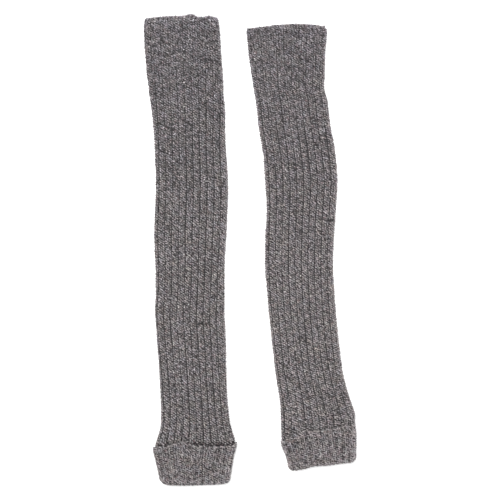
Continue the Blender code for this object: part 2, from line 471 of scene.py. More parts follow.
def end_rise(leg, down, share, to_lip):
    """How far the ends' outlines move a point up the leg."""
    edge = np.minimum(np.abs(share), 1.0)
    top = leg.course[0].down
    near_top = fade(down - top, END_FADE)
    near_bottom = fade(leg.bottom - down, END_FADE)
    rise = near_bottom * leg.bottom_end.drop * edge**leg.bottom_end.power
    rise -= near_top * leg.top_end.drop * edge**leg.top_end.power
    rise += near_top * wave_height(leg.top_end.wave, share)
    rise += near_bottom * wave_height(leg.bottom_end.wave, share)
    if to_lip:
        rise += fade(down - leg.lip, END_FADE) * wave_height(leg.lip_wave, share)
    return rise


def cloth_points(leg, around, down, out, loop, to_lip=False):
    """Places on a loop around the tube.

    around counts ribs from the front's middle to the right, down is the distance
    below the pair's highest point and out the distance outwards, all arrays.
    """
    flat_share = np.ones_like(down)
    snug = 0.0
    if to_lip:
        snug = leg.lip_snug * fade(down - leg.lip, SNUG_LENGTH)
        start = leg.bottom - FOLD_TUCK - FOLD_ROUND
        bent = np.clip((down - start) / FOLD_ROUND, 0.0, math.pi / 2.0)
        flat_share = np.cos(bent)
        down = np.minimum(down, start) + (FOLD_ROUND + out) * np.sin(bent)
        out = out * flat_share
    row = read_course(leg, down)
    half = row.width / 2.0 - FOLD_REACH
    turn_length = 4.0 * half + 2.0 * FOLD_LENGTH
    course = around * rib_pitch(row)
    course = (course + turn_length / 2.0) % turn_length - turn_length / 2.0
    side = np.where(course < 0.0, -1.0, 1.0)
    length = np.abs(course)
    turned = np.clip((length - half) / FOLD_LENGTH, 0.0, 1.0)
    behind = np.clip(length - half - FOLD_LENGTH, 0.0, None)
    angle = math.pi * (0.5 - turned)
    flat = np.where(turned > 0.0, half - behind, length)
    height = np.where(angle > 0.0, loop.rise, loop.fall)
    normal_across = np.cos(angle)
    normal_up = np.sin(angle)
    reach = loop.reach * (FOLD_END_REACH + (1.0 - FOLD_END_REACH) * flat_share) - snug
    across = side * (flat + (reach + out) * normal_across)
    up = loop.middle + (height * flat_share + out) * normal_up
    front = ease(1.0 - 2.0 * turned)
    up += front * (unevenness(leg, down, across) - crease_depth(leg, down, across))
    up += (WALL + SEAM_GAP) * ease((down - leg.lip + RAMP_END + RAMP) / RAMP)
    share = across / (row.width / 2.0)
    rise = row.lean * share / 2.0 + end_rise(leg, down, share, to_lip)
    up = np.maximum(up, FLOOR_CLEARANCE)
    place = (leg.line + row.sway + across, TOP_LINE - down + rise, up)
    return np.stack(place, axis=-1) * MM


def lip_shadow_and_press(leg, around, down):
    """Share of the lip's pressure and of its painted shadow on a place on the leg, from 1 at the
    lip to 0 above.
    """
    row = read_course(leg, down)
    share = (around + row.turn) * rib_pitch(row) / (row.width / 2.0)
    above = leg.lip - wave_height(leg.lip_wave, share) - down
    return leg.lip_press * fade(above, LIP_PRESS_LENGTH)


# The dip along a rib's middle, and its half width as a share of the rib's.
RIB_DIP = 0.02
RIB_DIP_WIDTH = 0.25


def rib_hump(share_of_rib):
    """Height of the fabric across one rib, from groove to groove, as a share."""
    aside = np.abs(2.0 * (share_of_rib % 1.0) - 1.0)
    return np.sqrt(1.0 - aside**4) - RIB_DIP * np.exp(-((aside / RIB_DIP_WIDTH) ** 2))


def from_front(around):
    """Ribs from the front's middle, to the right, up to half way around."""
    return (around + RIBS_AROUND / 2.0) % RIBS_AROUND - RIBS_AROUND / 2.0


# Share of the relief that the floor presses flat, and how many ribs from the front's
# middle that starts.
BACK_PRESS = 0.28
BACK_START = 6.0


def out_of_back(around):
    """Share of the relief that is kept, less where the fabric lies on the floor."""
    return 1.0 - BACK_PRESS * ease(np.abs(from_front(around)) - BACK_START)


# Painted light along the outline, where the tube's folds turn away from the lamp, more on
# the right than on the left, standing in for light on the folds and their loose fibres:
# how much at the sides and at the fold, where it starts in ribs from the front's middle
# and in millimetres above the fold, and the lengths over which it grows.
LEFT_SIDE_LIGHT = 0.22
RIGHT_SIDE_LIGHT = 0.4
SIDE_LIGHT_START = 4.7
SIDE_LIGHT_LENGTH = 0.45
TOP_LIGHT_LENGTH = 9.0
FOLD_LIGHT = 0.12
FOLD_LIGHT_START = 12.0
FOLD_LIGHT_LENGTH = 7.0


def painted_edge_light(leg, around, down):
    """Painted light along the outline, where the folds turn away from the lamp."""
    slot = from_front(around)
    painted_side_light = np.where(slot > 0.0, RIGHT_SIDE_LIGHT, LEFT_SIDE_LIGHT)
    beside = painted_side_light * ease((np.abs(slot) - SIDE_LIGHT_START) / SIDE_LIGHT_LENGTH)
    above = leg.top_light * fade(down - leg.course[0].down, TOP_LIGHT_LENGTH)
    below = FOLD_LIGHT * ease((down - leg.bottom + FOLD_LIGHT_START) / FOLD_LIGHT_LENGTH)
    return beside + above + below


def make_object(name, points, faces):
    """A smooth mesh object from arrays of points and of faces."""
    mesh = bpy.data.meshes.new(name)
    mesh.from_pydata(points.reshape(-1, 3).tolist(), [], faces)
    mesh.shade_smooth()
    mesh.update()
    piece = bpy.data.objects.new(name, mesh)
    bpy.context.scene.collection.objects.link(piece)
    return piece


def closed_grid_faces(rings, steps):
    """Faces of a grid of rings that closes around and from its last ring to its first."""
    ring, step = np.meshgrid(np.arange(rings), np.arange(steps), indexing="ij")
    after = (step + 1) % steps
    below = (ring + 1) % rings
    corners = ((ring, step), (below, step), (below, after), (ring, after))
    quads = np.stack([row * steps + column for row, column in corners], axis=-1)
    return quads.reshape(-1, 4).tolist()


# The ground fabric: its points across each rib, and its tones: painted shade in the grooves,
# which also darkens the inside and the lip's rounded edge, the tone under the stitches, a
# paler tone at the upper edge, and painted shadow under the lip.
RIB_SAMPLES = (0.0, 0.1, 0.24, 0.42, 0.58, 0.76, 0.9)
PAINTED_SHADE_TONE = -0.08
UNDER_STITCH_TONE = 0.1
EDGE_TONE = 0.25
EDGE_TONE_LENGTH = 5.0
LIP_GROUND_SHADE = 0.3

# The tube's rings: how far apart they are, how far above the others the one that
# rounds the edge is, and its share of the relief and of the inside.
RING_STEP = 5.0
EDGE_ROUND = 0.7
EDGE_RELIEF = 0.6
EDGE_INSIDE = 0.5


def around_samples():
    """Places around the tube, in ribs from the first groove."""
    return np.concatenate([rib + np.array(RIB_SAMPLES) for rib in range(RIBS_AROUND)])


def mark_points(piece, name, values):
    """Store a value at each of a piece's points, for its material."""
    mark = piece.data.attributes.new(name, "FLOAT", "POINT")
    mark.data.foreach_set("value", np.asarray(values, np.float32).reshape(-1))


def knit_rings(name, rings, tones):
    """A fabric of rings that closes around and from its last ring to its first."""
    faces = closed_grid_faces(len(rings), len(rings[0]))
    fabric = make_object(name, np.array(rings), faces)
    mark_points(fabric, "tone", tones)
    return fabric


def knit_tube(leg, knit):
    """The leg's ribbed tube, open at both ends, with its inside."""
    top = leg.course[0].down
    end = leg.bottom - WALL - SEAM_GAP
    downs = np.linspace(top, end, round((end - top) / RING_STEP))
    samples = around_samples()
    rings = []
    tones = []

    def ring(down, loop, relief, mix=0.0):
        place = np.full_like(samples, down)
        row = read_course(leg, place)
        filled = 1.0 - row.ribs * (1.0 - rib_hump(samples))
        fabric_tone = PAINTED_SHADE_TONE + (UNDER_STITCH_TONE - PAINTED_SHADE_TONE) * filled * (relief > 0.0)
        fabric_tone += EDGE_TONE * fade(down - top, EDGE_TONE_LENGTH)
        # Painted shadow of the cuff's lip on the leg's ground.
        tones.append(fabric_tone - LIP_GROUND_SHADE * lip_shadow_and_press(leg, samples, place))
        around = samples + row.turn
        out = relief * rib_hump(samples) * row.ribs * knit.rib_rise / MM * out_of_back(around)
        points = cloth_points(leg, around, place, out, loop)
        if mix:
            inner = cloth_points(leg, around, place, out * 0.0, LEG_INSIDE)
            points = points * (1.0 - mix) + inner * mix
        rings.append(points)

    ring(top - EDGE_ROUND, LEG_OUTSIDE, EDGE_RELIEF, mix=EDGE_INSIDE)
    for down in downs:
        ring(down, LEG_OUTSIDE, 1.0)
    for down in downs[::-1]:
        ring(down, LEG_INSIDE, 0.0)
    return knit_rings(leg.side + "_leg_knit", rings, tones)


# The turned-up end's rings: how many lie outside, around the fold and inside, how far
# they are from the lip and from the lower end, and the relief of the outer ones.
CUFF_RINGS = 11
CUFF_FOLD_ANGLES = (0.35, 0.7, 1.05, 1.35, math.pi / 2.0)
CUFF_INNER_RINGS = 9
CUFF_RELIEF = 0.35
LIP_ROUND = 0.6
LIP_OUTER_START = 0.4
LIP_INNER_END = 0.5
FOLD_INNER_RING = 2.6
FOLD_INNER_START = 4.0


def knit_cuff(leg):
    """The turned-up end: a sleeve around the leg with a rounded fold below."""
    samples = around_samples()
    bend = leg.bottom - FOLD_TUCK - FOLD_ROUND
    outside = np.linspace(leg.lip + LIP_OUTER_START, bend, CUFF_RINGS)
    inside = np.linspace(leg.bottom - FOLD_INNER_START, leg.lip + LIP_INNER_END, CUFF_INNER_RINGS)
    rings = []
    tones = []

    def ring(down, loop, relief, tone=UNDER_STITCH_TONE):
        downs = np.full_like(samples, down)
        around = samples + read_course(leg, downs).turn
        out = relief * rib_hump(samples + 0.5) * out_of_back(around)
        rings.append(cloth_points(leg, around, downs, out, loop, to_lip=True))
        tones.append(np.full_like(samples, tone))

    # The lip's rounded edge takes the painted shade of the grooves: a dark line of painted shadow
    # along the lip.
    ring(leg.lip - LIP_ROUND, LIP_EDGE, 0.0, tone=PAINTED_SHADE_TONE)
    for down in outside:
        ring(down, CUFF_OUTSIDE, CUFF_RELIEF)
    for angle in CUFF_FOLD_ANGLES:
        ring(bend + angle * FOLD_ROUND, CUFF_OUTSIDE, 0.0)
    ring(leg.bottom - FOLD_INNER_RING, LEG_INSIDE, 0.0)
    for down in inside:
        ring(down, CUFF_INSIDE, 0.0)
    return knit_rings(leg.side + "_cuff_knit", rings, tones)


# Sections along one stitch, from its upper end at -1 to its lower end at 1, with the
# share of its full width there and how far it bends aside, as a share of its width.
Section = namedtuple("Section", "along wide aside")
FINE_STITCH = (
    Section(-0.88, 0.66, -0.06),
    Section(-0.36, 0.94, -0.03),
    Section(0.28, 1.0, 0.04),
    Section(0.88, 0.7, 0.06),
)
COARSE_STITCH = (
    Section(-0.74, 0.68, -0.05),
    Section(0.0, 1.0, 0.0),
    Section(0.74, 0.7, 0.05),
)
STITCH_SIDES = 4
STITCH_DIP = 0.12
STITCH_ROUNDNESS = 0.85

# What is drawn at random, with the step from the leg's seed to each one's own.
SEED_STEPS = {
    "front stitches": 0,
    "back stitches": 1,
    "cuff stitches": 3,
    "fuzz": 4,
    "yarn": 5,
    "upper_edge": 6,
    "lip_edge": 7,
    "pale loops": 8,
    "grooves": 9,
    "fold_edge": 10,
    "groove shade": 12,
}

# How dark the painted shade down in the grooves is, how much stronger it is in some grooves
# than in others by chance, waves of it along each groove, and how much it differs from
# stitch to stitch.
GROOVE_SHADE = 0.54
GROOVE_CHANCE = 0.25
GrooveWave = namedtuple("GrooveWave", "share length shift")
GROOVE_WAVES = (
    GrooveWave(share=0.3, length=33.0, shift=2.1),
    GrooveWave(share=0.2, length=11.0, shift=4.3),
)
GROOVE_SHADE_RANGE = (0.3, 1.7)

# Stitches are told apart in the yarn's pattern by a shift in millimetres.
YARN_PLACES = 97
YARN_SHIFT = 7.3


def draws(leg, what):
    """Random numbers for one thing on one leg, the same in each run."""
    return np.random.default_rng(leg.seed + SEED_STEPS[what])


def stitch_template(sections):
    """Points of one stitch as along, aside and up shares, and its faces."""
    points = [(-1.0, 0.0, -STITCH_DIP)]
    for section in sections:
        for side in range(STITCH_SIDES):
            angle = 2.0 * math.pi * side / STITCH_SIDES
            aside = section.wide * math.cos(angle) + section.aside
            up = STITCH_ROUNDNESS * section.wide * math.sin(angle) - STITCH_DIP * section.along**2
            points.append((section.along, aside, up))
    points.append((1.0, 0.0, -STITCH_DIP))
    last = len(points) - 1
    end = last - STITCH_SIDES
    triangles = []
    quads = []
    for side in range(STITCH_SIDES):
        after = (side + 1) % STITCH_SIDES
        triangles.append((0, 1 + side, 1 + after))
        for section in range(len(sections) - 1):
            start = 1 + section * STITCH_SIDES
            below = start + STITCH_SIDES
            quads.append((start + side, below + side, below + after, start + after))
        triangles.append((end + side, last, end + after))
    return np.array(points), np.array(triangles), np.array(quads)


def groove_shadow(leg, around, down, ribs):
    """Painted shade down in the grooves, stronger in some grooves than in others."""
    groove = np.floor(around + 0.5)
    groove_darkness = 1.0 + GROOVE_CHANCE * draws(leg, "grooves").normal(size=RIBS_AROUND)
    groove_darkness = groove_darkness[groove.astype(int) % RIBS_AROUND]
    for wave in GROOVE_WAVES:
        groove_darkness = groove_darkness + wave.share * np.sin(down / wave.length + wave.shift * groove)
    return GROOVE_SHADE * ribs * groove_darkness


Stitches = namedtuple("Stitches", "around down slant length width height out tone")


def lay_stitches(name, leg, stitches, loop, relief, sections=FINE_STITCH, to_lip=False):
    """One object of many stitches on the cloth, from arrays with a value for each."""
    template, triangles, quads = stitch_template(sections)
    count = len(stitches.around)
    along = template[None, :, 0] * stitches.length[:, None] / 2.0
    aside = template[None, :, 1] * stitches.width[:, None] / 2.0
    up = template[None, :, 2] * stitches.height[:, None]
    slant = stitches.slant[:, None]
    row = read_course(leg, stitches.down)
    pitch = rib_pitch(row)[:, None]
    ribs_across = (along * np.cos(slant) - aside * np.sin(slant)) / pitch
    down = stitches.down[:, None] + along * np.sin(slant) + aside * np.cos(slant)
    in_rib = stitches.around[:, None] + ribs_across
    around = in_rib + row.turn[:, None]
    out = relief(in_rib, row.ribs[:, None]) + stitches.out[:, None] + up
    points = cloth_points(leg, around, down, out * out_of_back(around), loop, to_lip)
    offsets = (np.arange(count) * len(template))[:, None, None]
    faces = (triangles[None] + offsets).reshape(-1, 3).tolist()
    faces += (quads[None] + offsets).reshape(-1, 4).tolist()
    piece = make_object(name, points, faces)
    ribs = leg.cuff_ribs if to_lip else row.ribs
    shadow = groove_shadow(leg, stitches.around, stitches.down, ribs)
    shadow = shadow * draws(leg, "groove shade").uniform(*GROOVE_SHADE_RANGE, count)
    mark_points(piece, "tone", stitches.tone[:, None] + painted_edge_light(leg, around, down))
    line_place, line_shade = crease_lines(leg, down, from_front(around) * pitch)
    mark_points(piece, "line_place", line_place)
    mark_points(piece, "line_shade", line_shade)
    mark_points(piece, "groove", np.repeat(shadow, len(template)))
    mark_points(piece, "rib_place", in_rib + 0.5)
    yarn = piece.data.attributes.new("yarn", "FLOAT_VECTOR", "POINT")
    shift = (np.arange(count) % YARN_PLACES)[:, None] * YARN_SHIFT
    place = np.stack((along + shift, aside, up), axis=-1)
    yarn.data.foreach_set("vector", place.reshape(-1).astype(np.float32))
    return piece


# How much stitches differ by chance: their places in ribs around and in millimetres
# down, their slants in degrees, shares of their sizes, and their heights and tones.
Chance = namedtuple("Chance", "around down slant length width height out tone")
RIB_CHANCE = Chance(
    around=0.045, down=0.35, slant=16.0, length=0.12, width=0.09, height=0.12, out=0.12, tone=0.12
)
CUFF_CHANCE = Chance(
    around=0.03, down=0.3, slant=17.0, length=0.12, width=0.1, height=0.1, out=0.1, tone=0.11
)

# Columns of stitches on a rib, how much lower each is than the one on its left as a
# share of a row, and where the rows start and end.
FRONT_WALES = 3
BACK_WALES = 2
WALE_STEP = 0.6
FIRST_ROW = 1.4
LAST_ROW_UNDER_LIP = 6.0

# The ribs' stitches: their height on the ribs, how far the lip presses them down, their
# tone, and what it changes with. The knit is even and darker where the ribs hardly
# show, up to a start and over a range. One stretch down the legs is darker too. The
# first column on each rib, on the flank towards the lamp, gets painted light and the
# others a little painted shade, and the lip casts painted shadow on the stitches above it.
RIB_STITCH_OUT = 0.15
LIP_PRESS_DEPTH = 1.3
RIB_TONE = 0.93
EVEN_RIBS_START = 0.2
EVEN_RIBS_RANGE = 0.6
EVEN_SHADE = 0.1
YARN_RUN = 4
YARN_RUN_TONE = 0.03
LOWER_END_TONE = 0.06
DARK_STRETCH_SHADE = 0.06
DARK_STRETCH_MIDDLE = 165.0
DARK_STRETCH_LENGTH = 80.0
LIT_FLANK_LIGHT = 0.07
OTHER_WALE_SHADE = -0.02
LIP_SHADE = 0.66
LIP_SHADE_RANGE = (0.15, 1.6)


def yarn_run(leg, rows, wales):
    """Tone that drifts slowly along each row of stitches, as marl yarn does."""
    drift = draws(leg, "yarn").normal(size=(rows, wales + 2 * YARN_RUN))
    run = sum(np.roll(drift, step, axis=1) for step in range(YARN_RUN))
    return run[:, :wales] / YARN_RUN**0.5


def vary(random, middle, share, count):
    """Sizes that differ by chance by a share of their middle."""
    return middle * (1.0 + share * random.normal(size=count))


def rib_stitches(leg, knit, front):
    """The twisted stitches of the ribs, side by side on each rib in every row."""
    random = draws(leg, "front stitches" if front else "back stitches")
    chance = RIB_CHANCE
    top = leg.course[0].down
    rows = int((leg.lip + LAST_ROW_UNDER_LIP - top) / leg.row_height)
    on_rib = FRONT_WALES if front else BACK_WALES
    wales = RIBS_AROUND * on_rib
    wale = np.arange(wales)[None, :] + np.zeros((rows, 1))
    down = np.arange(rows)[:, None] + WALE_STEP * (wale % on_rib)
    down = top + FIRST_ROW + leg.row_height * down
    around = (wale + 0.5) / on_rib
    row = read_course(leg, down)
    evenness = fade(row.ribs - EVEN_RIBS_START, EVEN_RIBS_RANGE)
    tone = RIB_TONE - EVEN_SHADE * evenness + chance.tone * random.normal(size=(rows, wales))
    tone += YARN_RUN_TONE * yarn_run(leg, rows, wales)
    tone += LOWER_END_TONE * (down / leg.bottom - 0.5)
    from_dark = (down - DARK_STRETCH_MIDDLE) / DARK_STRETCH_LENGTH
    tone -= DARK_STRETCH_SHADE * np.exp(-(from_dark**2))
    # Painted light on each rib's first column, on the flank that faces the lamp, and a little
    # painted shade on the others.
    tone += np.where(wale % on_rib == 0, LIT_FLANK_LIGHT, OTHER_WALE_SHADE) * (1.0 - evenness)
    slot = from_front(around + row.turn)
    keep = (np.abs(slot) < RIBS_AROUND / 4.0) == front
    count = int(keep.sum())
    lengthen = (FRONT_WALES / on_rib) ** 0.5
    # The lip presses these stitches down and darkens them with painted shadow.
    pressed_and_shaded = lip_shadow_and_press(leg, around[keep], down[keep])
    return Stitches(
        around=around[keep] + chance.around * random.normal(size=count),
        down=down[keep] + chance.down * random.normal(size=count),
        slant=knit.stitch_slant + np.radians(chance.slant) * random.normal(size=count),
        length=vary(random, knit.stitch_length / MM, chance.length, count) * lengthen,
        width=vary(random, knit.stitch_width / MM, chance.width, count),
        height=vary(random, knit.stitch_height / MM, chance.height, count),
        out=RIB_STITCH_OUT - LIP_PRESS_DEPTH * pressed_and_shaded + chance.out * random.normal(size=count),
        tone=tone[keep] - LIP_SHADE * pressed_and_shaded * random.uniform(*LIP_SHADE_RANGE, count),
    )


# The reverse side's stitches: how much closer their rows are than the front's, where
# the rows start, how much lower every second column is, the slant of most and of every
# third one in degrees, their sizes, and their height and tone.
CUFF_ROWS_CLOSER = 1.12
CUFF_FIRST_ROW = 0.6
CUFF_WALE_STEP = 1.3
CUFF_SLANT = 34.0
CUFF_STEEP_SLANT = 62.0
CUFF_STITCH_LENGTH = 5.2
CUFF_STITCH_WIDTH = 2.4
CUFF_STITCH_HEIGHT = 1.2
CUFF_STITCH_OUT = 0.1
CUFF_TONE = 0.92


def cuff_stitches(leg):
    """The reverse of the rib, which shows on the turned-up cuff."""
    random = draws(leg, "cuff stitches")
    chance = CUFF_CHANCE
    wales = RIBS_AROUND * FRONT_WALES
    rows = int((leg.bottom + CUFF_FIRST_ROW - leg.lip) / leg.row_height * CUFF_ROWS_CLOSER)
    row_height = leg.row_height / CUFF_ROWS_CLOSER
    down = leg.lip + CUFF_FIRST_ROW + row_height * (np.arange(rows)[:, None] + np.zeros(wales))
    wale = np.arange(wales)[None, :] + np.zeros((rows, 1))
    down = (down + np.where(wale % 2 == 0, 0.0, CUFF_WALE_STEP)).reshape(-1)
    around = (wale / FRONT_WALES + 0.5).reshape(-1)
    count = down.size
    slant = np.where(np.arange(count) % 3 == 0, CUFF_STEEP_SLANT, CUFF_SLANT)
    return Stitches(
        around=around + chance.around * random.normal(size=count),
        down=down + chance.down * random.normal(size=count),
        slant=np.radians(slant + chance.slant * random.normal(size=count)),
        length=vary(random, CUFF_STITCH_LENGTH, chance.length, count),
        width=vary(random, CUFF_STITCH_WIDTH, chance.width, count),
        height=vary(random, CUFF_STITCH_HEIGHT, chance.height, count),
        out=CUFF_STITCH_OUT + chance.out * random.normal(size=count),
        tone=CUFF_TONE + chance.tone * random.normal(size=count),
    )


# A row of loops along an edge: how far below the edge's own place and out of the cloth
# it lies, how many loops are on a rib, and how loosely they follow the edge.
Edge = namedtuple("Edge", "below out per_rib loose")
EDGES = {
    "upper_edge": Edge(below=-0.1, out=0.0, per_rib=4, loose=0.18),
    "lip_edge": Edge(below=0.7, out=0.2, per_rib=3, loose=0.7),
    "fold_edge": Edge(below=0.0, out=-0.2, per_rib=3, loose=0.3),
}

# Loops on the edges: their slant and its chance in degrees, their length past a rib's
# share, their width and height, and their tone with its chance.
LOOP_CHANCE = 0.02
LOOP_SLANT = 14.0
LOOP_SLANT_CHANCE = 16.0
LOOP_RIB = 8.8
LOOP_OVERLAP = 1.0
LOOP_WIDTH = 2.2
LOOP_HEIGHT = 0.9
LOOP_TONE = 1.15
LOOP_TONE_CHANCE = 0.2


def edge_stitches(leg, name, down):
    """A row of loops along an edge."""
    random = draws(leg, name)
    edge = EDGES[name]
    count = RIBS_AROUND * edge.per_rib
    return Stitches(
        around=np.arange(count) / edge.per_rib + LOOP_CHANCE * random.normal(size=count),
        down=np.full(count, down + edge.below) + edge.loose * random.normal(size=count),
        slant=np.radians(LOOP_SLANT + LOOP_SLANT_CHANCE * random.normal(size=count)),
        length=np.full(count, LOOP_RIB / edge.per_rib + LOOP_OVERLAP),
        width=np.full(count, LOOP_WIDTH),
        height=np.full(count, LOOP_HEIGHT),
        out=np.full(count, edge.out),
        tone=LOOP_TONE + LOOP_TONE_CHANCE * random.normal(size=count),
    )


# Pale loops: their slant and its chance in degrees, and what else they share.
PALE_SLANT = 60.0
PALE_SLANT_CHANCE = 30.0
PALE_LOOP = {"length": 3.0, "width": 1.7, "height": 1.6, "out": 0.4, "tone": 2.2}


def pale_stitches(leg):
    """Small pale loops just below the upper edge."""
    around, down = np.array(leg.pale_loops).T
    count = len(around)
    chance = draws(leg, "pale loops").normal(size=count)
    shared = {name: np.full(count, value) for name, value in PALE_LOOP.items()}
    slant = np.radians(PALE_SLANT + PALE_SLANT_CHANCE * chance)
    return Stitches(around=around, down=down, slant=slant, **shared)


def rib_relief(rise):
    """The height of the tube's ribs where a stitch lies on them."""

    def relief(in_rib, ribs):
        return rib_hump(in_rib) * ribs * rise

    return relief


def no_relief(in_rib, ribs):
    """Stitches that lie on the loop itself."""
    return 0.0 * in_rib


# Loose fibres: their sections and sides, how much thinner their tips are, how far to
# each side of the front's middle they grow as a share of the way around, ranges of
# their lengths, their half thicknesses and how high they rise, how they bend and arch,
# how far they keep from the fold and the lip, and how far out of the cloth they start.
FIBRE_SECTIONS = 4
FIBRE_SIDES = 3
FIBRE_TAPER = 0.6
FUZZ_REACH = 0.3
FIBRE_LENGTHS = (1.5, 4.5)
FIBRE_HALF_WIDTHS = (0.035, 0.06)
FIBRE_RISES = (0.5, 1.5)
FIBRE_BEND = 1.2
FIBRE_ARCH = math.pi * 0.75
FUZZ_ABOVE_FOLD = 2.0
FUZZ_BELOW_LIP = 2.0
FIBRE_ROOT_ON_CUFF = 1.0
FIBRE_ROOT_ON_LEG = 1.3
TINY = 1e-9


def fibre_faces(count):
    """Faces of many fibres, each closed at both ends."""
    ends = [(0, 1, 2), tuple((FIBRE_SECTIONS - 1) * FIBRE_SIDES + side for side in (2, 1, 0))]
    quads = []
    for section in range(FIBRE_SECTIONS - 1):
        for side in range(FIBRE_SIDES):
            after = (side + 1) % FIBRE_SIDES
            start = section * FIBRE_SIDES
            below = start + FIBRE_SIDES
            quads.append((start + side, below + side, below + after, start + after))
    offsets = (np.arange(count) * FIBRE_SECTIONS * FIBRE_SIDES)[:, None, None]
    faces = (np.array(ends)[None] + offsets).reshape(-1, 3).tolist()
    return faces + (np.array(quads)[None] + offsets).reshape(-1, 4).tolist()


def raise_fuzz(leg, count):
    """Loose fibres that stand off the wool, as thin bent three-sided wires."""
    random = draws(leg, "fuzz")
    top = leg.course[0].down
    down = random.uniform(top, leg.bottom - FUZZ_ABOVE_FOLD, count)
    around = random.uniform(-RIBS_AROUND * FUZZ_REACH, RIBS_AROUND * FUZZ_REACH, count)
    on_cuff = down > leg.lip + FUZZ_BELOW_LIP
    length = random.uniform(*FIBRE_LENGTHS, count)
    heading = random.uniform(0.0, 2.0 * math.pi, count)
    bend = random.normal(size=count) * FIBRE_BEND
    thick = random.uniform(*FIBRE_HALF_WIDTHS, count)
    rise = random.uniform(*FIBRE_RISES, count)
    pitch = rib_pitch(read_course(leg, down))
    root_out = np.where(on_cuff, FIBRE_ROOT_ON_CUFF, FIBRE_ROOT_ON_LEG)
    centres = []
    for step in np.linspace(0.0, 1.0, FIBRE_SECTIONS):
        aim = heading + bend * step
        ahead = length * step
        out = root_out + rise * math.sin(FIBRE_ARCH * step)
        place_around = around + ahead * np.cos(aim) / pitch
        place_down = down + ahead * np.sin(aim)
        on_leg = cloth_points(leg, place_around, place_down, out, LEG_OUTSIDE)
        above = cloth_points(leg, place_around, place_down, out, CUFF_OUTSIDE)
        centres.append(np.where(on_cuff[:, None], above, on_leg))
    centres = np.array(centres)
    ahead = centres[-1] - centres[0]
    ahead /= np.linalg.norm(ahead, axis=1, keepdims=True)
    first = np.cross(ahead, np.array((0.0, 0.0, 1.0)))
    first /= np.linalg.norm(first, axis=1, keepdims=True) + TINY
    second = np.cross(ahead, first)
    corners = []
    for section, centre in enumerate(centres):
        taper = 1.0 - FIBRE_TAPER * section / (FIBRE_SECTIONS - 1)
        for side in range(FIBRE_SIDES):
            angle = 2.0 * math.pi * side / FIBRE_SIDES
            offset = first * math.cos(angle) + second * math.sin(angle)
            corners.append(centre + offset * (thick * taper * MM)[:, None])
    points = np.array(corners).transpose(1, 0, 2)
    return make_object(leg.side + "_fuzz", points, fibre_faces(count))


class NodeLayout:
    """Small helper that adds linked shader nodes."""

    def __init__(self, name):
        self.material = bpy.data.materials.new(name)
        self.material.use_nodes = True
        self.nodes = self.material.node_tree.nodes
        self.links = self.material.node_tree.links
        self.shader = self.nodes["Principled BSDF"]

    def add(self, kind, inputs=None, **settings):
        node = self.nodes.new(kind)
        for key, value in settings.items():
            setattr(node, key, value)
        for key, value in (inputs or {}).items():
            if isinstance(value, bpy.types.NodeSocket):
                self.links.new(value, node.inputs[key])
            else:
                node.inputs[key].default_value = value
        return node

    def mark(self, name, output="Fac"):
        """A value that the piece's points carry."""
        return self.add("ShaderNodeAttribute", attribute_name=name).outputs[output]

    def math(self, operation, first, second=0.0):
        return self.add("ShaderNodeMath", {0: first, 1: second}, operation=operation).outputs[0]

    def scaled(self, value, factor, start=0.0):
        """A value times a factor, added to a start."""
        return self.math("ADD", self.math("MULTIPLY", value, factor), start)

    def blend(self, share, first, second, mode="MIX"):
        inputs = {0: share, 6: first, 7: second}
        return self.add("ShaderNodeMix", inputs, data_type="RGBA", blend_type=mode).outputs[2]

    def noise(self, vector, scale, detail=2.0):
        inputs = {"Vector": vector, "Scale": scale, "Detail": detail}
        return self.add("ShaderNodeTexNoise", inputs).outputs["Fac"]

    def spread(self, value, low, high):
        """Share of the way from low to high, held between 0 and 1."""
        inputs = {"Value": value, "From Min": low, "From Max": high}
        return self.add("ShaderNodeMapRange", inputs).outputs["Result"]

    def finish(self, values):
        """Set the shader's own values."""
        for name, value in values.items():
            self.shader.inputs[name].default_value = value


def colour(value):
    """An opaque colour from three settings."""
    return (value[0], value[1], value[2], 1.0)


# Turns of the plies in one stitch, in radians for each millimetre along and across it.
PLY_TURN = (3.4, 2.4, 1.2)

# The grooves' shadow across a rib, which has its groove at 0.5: where it starts and is
# full on its left, where it ends and is full on its right, and how it wavers.
GROOVE_LEFT = (0.3, 0.46)
GROOVE_RIGHT = (0.62, 0.54)
GROOVE_WAVER = 0.1
GROOVE_WAVER_SCALE = 260.0

# A sharp crease's shadow: where it ends and is full, in the crease's widths.
CREASE_SHADOW = (1.35, 0.6)

# The wool's grain: scales of its noise and what each kind adds to the tone, the share
# of plies, the tone that is light, and how much painted shade a stitch has below its top.
FIBRE_SCALE = 860.0
CLUMP_SCALE = 540.0
LONG_CLUMP_SCALE = 480.0
LONG_CLUMP_STRETCH = (1.0, 0.5, 1.0)
PATCH_SCALE = 24.0
GROUND_STREAK_SCALE = 1500.0
GRAIN_WEIGHTS = {
    "fibres": 0.5,
    "clumps": 1.0,
    "long clumps": 0.8,
    "streaks": 0.4,
    "patches": 0.16,
}
PLY_SHARE = 0.25
PLY_WAVER = 5.0
PLY_WAVER_SCALE = 0.8
LIGHT_TONE = 1.15
STITCH_TOP = (1.05, 0.35)
STITCH_SIDE_SHADE = 0.8

# Warm fibres, flecks and the colour's slow drift, also up the legs and to the right.
WARM_SCALE = 330.0
WARM_RANGE = (0.63, 0.74)
WARM_SHARE = 0.65
FLECK_SCALE = 150.0
FLECK_EDGE = (0.18, 0.09)
FLECK_RARITY = (0.76, 0.83)
PINK_DRIFT = {"scale": 150.0, "factor": 0.32, "start": 0.85}
BLUE_DRIFT = {"scale": 110.0, "factor": 0.3, "start": 0.855}
PINKER_RIGHT = 0.009
RIGHT_RANGE = (-0.02, 0.02)
BLUER_UP = 0.052
UP_RANGE = (0.0, 0.3)

